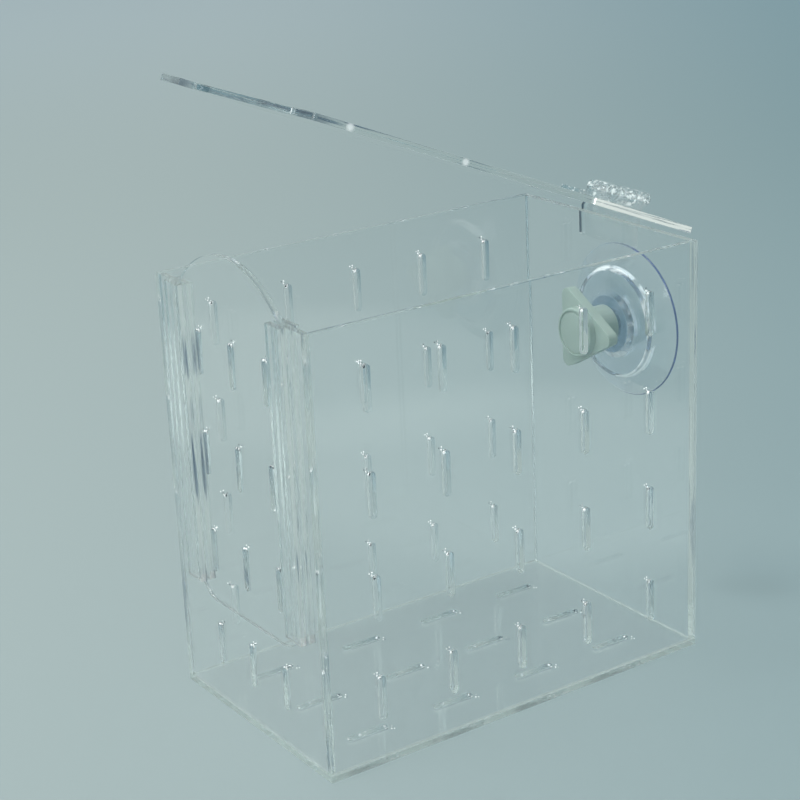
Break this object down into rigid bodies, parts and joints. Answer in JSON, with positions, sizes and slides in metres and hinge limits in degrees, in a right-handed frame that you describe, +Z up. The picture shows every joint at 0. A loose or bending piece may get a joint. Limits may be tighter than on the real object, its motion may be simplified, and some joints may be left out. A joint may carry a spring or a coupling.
{
  "type": "fish acclimation box",
  "caption": "Clear slotted box for settling new fish in an aquarium, with a hinged lid, a sliding arched door and a suction cup on a threaded stud.",
  "frame": {"origin": "centre of the base plate's underside", "axes": "+X towards the suction cup end, +Y towards the back wall, +Z up"},
  "size_m": [0.214, 0.12, 0.2767],
  "materials": {
    "clear_acrylic": "polished clear sheet with brighter sawn edges",
    "clear_hinge": "moulded clear plastic",
    "clear_soft_vinyl": "glossy clear soft vinyl with a blue tint",
    "stud_plastic": "moulded plastic",
    "milky_nut_plastic": "translucent moulded plastic, satin"
  },
  "bodies": {
    "box": {"base_plate": "clear_acrylic", "front_wall": "clear_acrylic", "back_wall": "clear_acrylic", "suction_end_wall": "clear_acrylic", "door_end_wall": "clear_acrylic", "guide_outer_front": "clear_acrylic", "guide_outer_back": "clear_acrylic", "guide_inner_front": "clear_acrylic", "guide_inner_back": "clear_acrylic", "hinge_wall_leaf": "clear_hinge", "hinge_pin": "clear_hinge", "suction_cup": "clear_soft_vinyl", "cup_stud": "stud_plastic"},
    "lid": {"lid": "clear_acrylic", "hinge_lid_leaf": "clear_hinge"},
    "door": {"door": "clear_acrylic"},
    "thumb_nut": {"thumb_nut": "milky_nut_plastic"}
  },
  "joints": [
    {"name": "lid_hinge", "type": "hinge", "parent": "box", "child": "lid", "pos_m": [0.1065, 0, 0.2025], "axis": [0, 1, 0], "range_deg": [-22.5, 157.5]},
    {"name": "door_slide", "type": "slide", "parent": "box", "child": "door", "axis": [0, 0, 1], "range_m": [0, 0.13]},
    {"name": "thumb_nut_turn", "type": "hinge", "parent": "box", "child": "thumb_nut", "pos_m": [0.0875, 0, 0.142], "axis": [-1, 0, 0], "range_deg": [0, 1080]}
  ]
}
